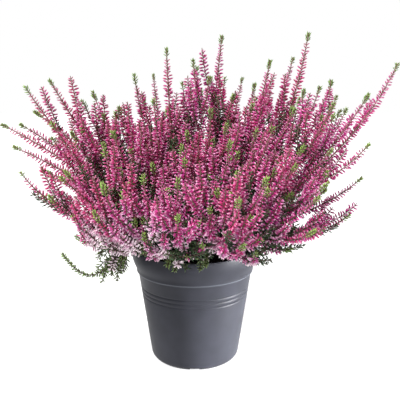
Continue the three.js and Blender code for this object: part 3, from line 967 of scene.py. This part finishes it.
def foot_tools():
    """What is cut out of the pot's foot: a block for each notch in its ring and a rod for each drain hole."""
    tools = bmesh.new()
    block = Matrix.Diagonal((NOTCH_LENGTH, NOTCH_WIDTH, 2 * NOTCH_HEIGHT, 1.0))
    shift = Matrix.Translation((FOOT_RING_INNER - NOTCH_START + NOTCH_LENGTH / 2, 0, 0))
    for n in range(NOTCH_COUNT):
        made = bmesh.ops.create_cube(tools, size=1.0)
        turn = Matrix.Rotation(n * 2 * math.pi / NOTCH_COUNT, 4, "Z")
        bmesh.ops.transform(tools, matrix=turn @ shift @ block, verts=made["verts"])
    shift = Matrix.Translation((DRAIN_CIRCLE, 0, 0))
    for n in range(DRAIN_COUNT):
        made = bmesh.ops.create_cone(
            tools,
            cap_ends=True,
            segments=DRAIN_STEPS,
            radius1=DRAIN_RADIUS,
            radius2=DRAIN_RADIUS,
            depth=DRAIN_TOOL,
        )
        turn = Matrix.Rotation((n + 0.5) * 2 * math.pi / DRAIN_COUNT, 4, "Z")
        bmesh.ops.transform(tools, matrix=turn @ shift, verts=made["verts"])
    return tools


def pot_piece():
    """The pot with its grooves, band and lip, notches in its foot ring and drain holes in its floor."""
    piece = object_from("grey_pot", spun(pot_outside() + pot_inside(0.0), POT_STEPS))
    cutter = object_from("cutter", foot_tools())
    cut = piece.modifiers.new("cut", "BOOLEAN")
    cut.operation = "DIFFERENCE"
    cut.solver = "EXACT"
    cut.object = cutter
    bpy.context.view_layer.update()
    whole = piece.data
    cut_piece = piece.evaluated_get(bpy.context.evaluated_depsgraph_get())
    piece.data = bpy.data.meshes.new_from_object(cut_piece)
    piece.modifiers.clear()
    bpy.data.meshes.remove(whole)
    bpy.data.objects.remove(cutter)
    piece.data.shade_smooth()
    piece.data.set_sharp_from_angle(angle=math.radians(SHARP_ABOVE))
    return piece


def compost_piece(chance):
    """The filling: a solid that follows the pot's inside, with a lumpy top under loose crumbs."""
    edge_radius, edge_z = COMPOST_TOP[0]
    inside = [(r, z) for r, z in pot_inside(COMPOST_GAP) if z < edge_z]
    rings = COMPOST_TOP[::-1]
    fine = []
    for (r0, z0), (r1, z1) in zip(rings, rings[1:]):
        parts = max(1, round((r1 - r0) / COMPOST_RING))
        fine += [(r0 + (r1 - r0) * n / parts, z0 + (z1 - z0) * n / parts) for n in range(parts)]
    shape = spun(fine + [rings[-1]] + inside, COMPOST_STEPS)
    for corner in shape.verts:
        is_on_top = corner.co.z > edge_z - COMPOST_GAP
        is_inside_edge = math.hypot(corner.co.x, corner.co.y) < edge_radius - COMPOST_GAP
        if is_on_top and is_inside_edge:
            corner.co.z += sum(height * noise.noise(corner.co * often) for height, often in LUMPS)
    reach = CRUMB_CIRCLE * np.sqrt(chance.random(CRUMBS))
    angle = chance.random(CRUMBS) * 2 * math.pi
    level = np.interp(reach, [r for r, _ in rings], [z for _, z in rings]) + CRUMB_ABOVE
    foot = np.stack([reach * np.cos(angle), reach * np.sin(angle), level], 1)
    ahead = unit(chance.normal(0, 1, (CRUMBS, 3)))
    side = unit(np.cross(ahead, chance.normal(0, 1, (CRUMBS, 3))))
    width = chance.uniform(*CRUMB_SIZE, CRUMBS)
    age = chance.random(CRUMBS)
    tint = chance.random(CRUMBS)
    crumbs = stamp(CRUMB_SHAPE, (foot, ahead, side, width * CRUMB_LONG, width, age, tint), 0, False)
    return mesh_of("peat_filling", [plain_batch(shape, 0), crumbs], [peat()])


# ---- Sprays ----


def bare_twig(stem, sort, spread, chance):
    """A twig of a sort, with nothing on it yet."""
    start = stem.length * chance.uniform(*sort["span"])
    length = chance.uniform(*sort["length"])
    return Stem(twig_curve(stem, start, length, spread, sort["rise"], chance), *TWIG_RADII)


def leafy_twig(stem, sort, chance):
    """A twig with needles all along."""
    twig = bare_twig(stem, sort, LEAFY_TWIG_SPREAD, chance)
    return twig, [leafy_stretch(twig, TWIG_FOOT, twig.length, *TWIG_NEEDLE, sort["ages"], chance)]


def budded_twig(stem, sort, fade, cast, chance):
    """A flowering twig. Some end in a fresh green tip."""
    twig = bare_twig(stem, sort, BUDDED_TWIG_SPREAD, chance)
    fresh = chance.random() < FRESH_TWIG_SHARE
    end = twig.length - (FRESH_TWIG_TIP if fresh else BARE_TWIG_TIP)
    parts = budded(twig, twig.length * TWIG_BUDS_FROM, end, fade, cast, chance)
    leafy_end = twig.length * TWIG_NEEDLES_TO
    parts.append(leafy_stretch(twig, TWIG_FOOT, leafy_end, *BUDDED_TWIG_NEEDLES, chance))
    if fresh:
        parts.append(growing_tip(twig, end, chance))
    return twig, parts


def with_twigs(stem, parts, twigs):
    """All parts and all stems of a shoot, its twigs' among them."""
    return parts + [part for _, more in twigs for part in more], [stem] + [twig for twig, _ in twigs]


def flowering_parts(curve, kind, is_main, chance):
    """A flowering shoot: needles low down, buds above them, twigs inside the plant, and a green tip."""
    stem = Stem(curve, kind["stem"] if is_main else SIDE_STEM)
    x, y, z = curve[3]
    first = max(stem.length * kind["bare"], stem.length - kind["spike"])
    last = stem.length - chance.uniform(*GREEN_TIP_LENGTH)
    fade = chance.uniform(-FADE_SPREAD, FADE_SPREAD)
    # Shoots on the left lean to rose red and those on the right to violet.
    cast = EVEN_CAST + CAST_ACROSS * x / PLANT_HALF_WIDTH + chance.uniform(-CAST_SPREAD, CAST_SPREAD)
    parts = budded(stem, first * BUDS_FROM, last, fade, cast, chance)
    parts.append(growing_tip(stem, last, chance))
    needles_from = NEEDLES_FROM[0] if is_main else NEEDLES_FROM[1]
    parts.append(leafy_stretch(stem, needles_from, first, *STEM_NEEDLES, chance))
    is_far = abs(x) > FAR_OUT
    count = LEAFY_TWIGS if is_main and (x < 0 or not is_far) else 1
    shaded = SHADED_FAR_OUT if is_far else SHADED
    twigs = [leafy_twig(stem, shaded, chance) for _ in range(count)]
    if kind is LOW:
        budded_count, leafy_count = LOW_TWIGS["left" if x < LEAFIER_BEYOND else "right"]
        twigs += [budded_twig(stem, LOW_BUDDED, fade, cast, chance) for _ in range(budded_count)]
        twigs += [leafy_twig(stem, LOW_LEAFY, chance) for _ in range(leafy_count)]
        return with_twigs(stem, parts, twigs)
    if is_far and z < LAX_BELOW:
        sort = LAX_BUDDED
    else:
        sort = BACK_BUDDED if y > BEHIND else FRONT_BUDDED
    count = BUDDED_TWIGS + (1 if abs(x) < MIDDLE else 0)
    twigs += [budded_twig(stem, sort, fade, cast, chance) for _ in range(count)]
    return with_twigs(stem, parts, twigs)


def leafy_parts(curve, kind, is_main, chance):
    """A leafy shoot: comb-like needles and twigs near the pot, and a braid of short pale leaves at its end."""
    stem = Stem(curve, kind["stem"] if is_main else SIDE_STEM)
    length = stem.length
    parts = [
        leafy_stretch(stem, length * COMB[0], length * COMB[1], *COMB_NEEDLES, chance),
        leafy_stretch(stem, length * BRAID_FROM, length - BRAID_END, *BRAID_NEEDLES, chance),
        leafy_stretch(stem, length * INNER_BRAID_FROM, length - BRAID_END, *INNER_BRAID_NEEDLES, chance),
        growing_tip(stem, length - LEAFY_GREEN_TIP, chance),
    ]
    twigs = [leafy_twig(stem, RIM_LEAFY, chance) for _ in range(RIM_TWIGS[0])]
    twigs += [budded_twig(stem, RIM_BUDDED, FADED, EVEN_CAST, chance) for _ in range(RIM_TWIGS[1])]
    if curve[3][0] < DROOP_BEFORE:
        out = np.hypot(*stem.at(stem.s)[0].T[:2])
        past_rim = stem.s[out > RIM_RADIUS + PAST_RIM][0]
        span = (past_rim / length, (past_rim + DROOP_SPAN) / length)
        leafy = {**DROOPING_LEAFY, "span": span}
        flowering = {**DROOPING_BUDDED, "span": span}
        twigs += [leafy_twig(stem, leafy, chance) for _ in range(DROOPING_TWIGS[0])]
        twigs += [budded_twig(stem, flowering, FADED, EVEN_CAST, chance) for _ in range(DROOPING_TWIGS[1])]
    return with_twigs(stem, parts, twigs)


def build_sprays():
    """Every spray as one piece: its stems, leaves and buds."""
    finishes = [petals(), leaves(), bark()]
    for i, spray in enumerate(grow_sprays()):
        chance = np.random.default_rng(SPRAY_SEED + i)
        parts, stems = [], []
        grow = flowering_parts if spray["kind"]["blooms"] else leafy_parts
        for n, curve in enumerate(spray["curves"]):
            more, bare = grow(curve, spray["kind"], n == 0, chance)
            parts += more
            stems += bare
        piece = mesh_of(f"{spray['name']}_grown", parts + [tubes(stems)], finishes)
        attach(piece, "root")
        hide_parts(spray["name"])


# ---- Studio ----


def pale_floor():
    shape = bmesh.new()
    bmesh.ops.create_grid(shape, x_segments=1, y_segments=1, size=FLOOR_HALF)
    floor = object_from("floor", shape)
    floor.data.materials.append(pale_light_table())
    return floor


def white_surround():
    """A surround that looks white and lights the plant only a little."""
    world = bpy.data.worlds.new("white_surround")
    world.use_nodes = True
    tree = world.node_tree
    tree.nodes.clear()
    seen = add_node(tree, "ShaderNodeLightPath")
    strength = add_node(
        tree,
        "ShaderNodeMapRange",
        inputs={"Value": seen.outputs["Is Camera Ray"], "To Min": SURROUND_LIGHT, "To Max": 1.0},
    )
    surround = add_node(
        tree, "ShaderNodeBackground", inputs={"Color": WHITE, "Strength": strength.outputs[0]}
    )
    add_node(tree, "ShaderNodeOutputWorld", inputs={"Surface": surround.outputs[0]})
    return world


def light_of(name, sort, energy, heading):
    """A light of a sort that shines along a heading."""
    data = bpy.data.lights.new(name, sort)
    data.energy = energy
    light = placed(name, data)
    light.rotation_euler = heading.to_track_quat("-Z", "Y").to_euler()
    return light


def side_panel(lit_objects):
    """A narrow panel low at the right. It is flagged off the plant, so it lights the given objects alone."""
    panel = light_of("side_panel", "AREA", PANEL_ENERGY, Vector(PANEL_AIM) - Vector(PANEL_AT))
    panel.location = PANEL_AT
    panel.data.spread = math.radians(PANEL_SPREAD)
    panel.data.shape = "SQUARE"
    panel.data.size = PANEL_SIZE
    lit = bpy.data.collections.new("lit_by_side_panel")
    for lit_object in lit_objects:
        lit.objects.link(lit_object)
    panel.light_linking.receiver_collection = lit


def place_camera():
    data = bpy.data.cameras.new("camera")
    data.lens = CAMERA_LENS
    data.sensor_width = CAMERA_SENSOR
    camera = placed("camera", data)
    camera.location = CAMERA_AT
    camera.rotation_euler = (math.radians(CAMERA_PITCH), 0.0, 0.0)
    bpy.context.scene.camera = camera


def studio(plant_pot):
    """A pale floor, a white surround, a wide soft sun from the upper left front, a panel, and the camera."""
    floor = pale_floor()
    bpy.context.scene.world = white_surround()
    bpy.context.scene.view_settings.view_transform = "Standard"
    sun = light_of("top", "SUN", SUN_ENERGY, Vector(SUN_AIM))
    sun.data.angle = math.radians(SUN_WIDTH)
    side_panel([plant_pot, floor])
    place_camera()


pot = pot_piece()
pot.data.materials.append(pot_plastic())
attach(pot, "root")
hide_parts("pot")

filling = compost_piece(np.random.default_rng(COMPOST_SEED))
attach(filling, "root")
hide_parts("compost")

build_sprays()
studio(pot)
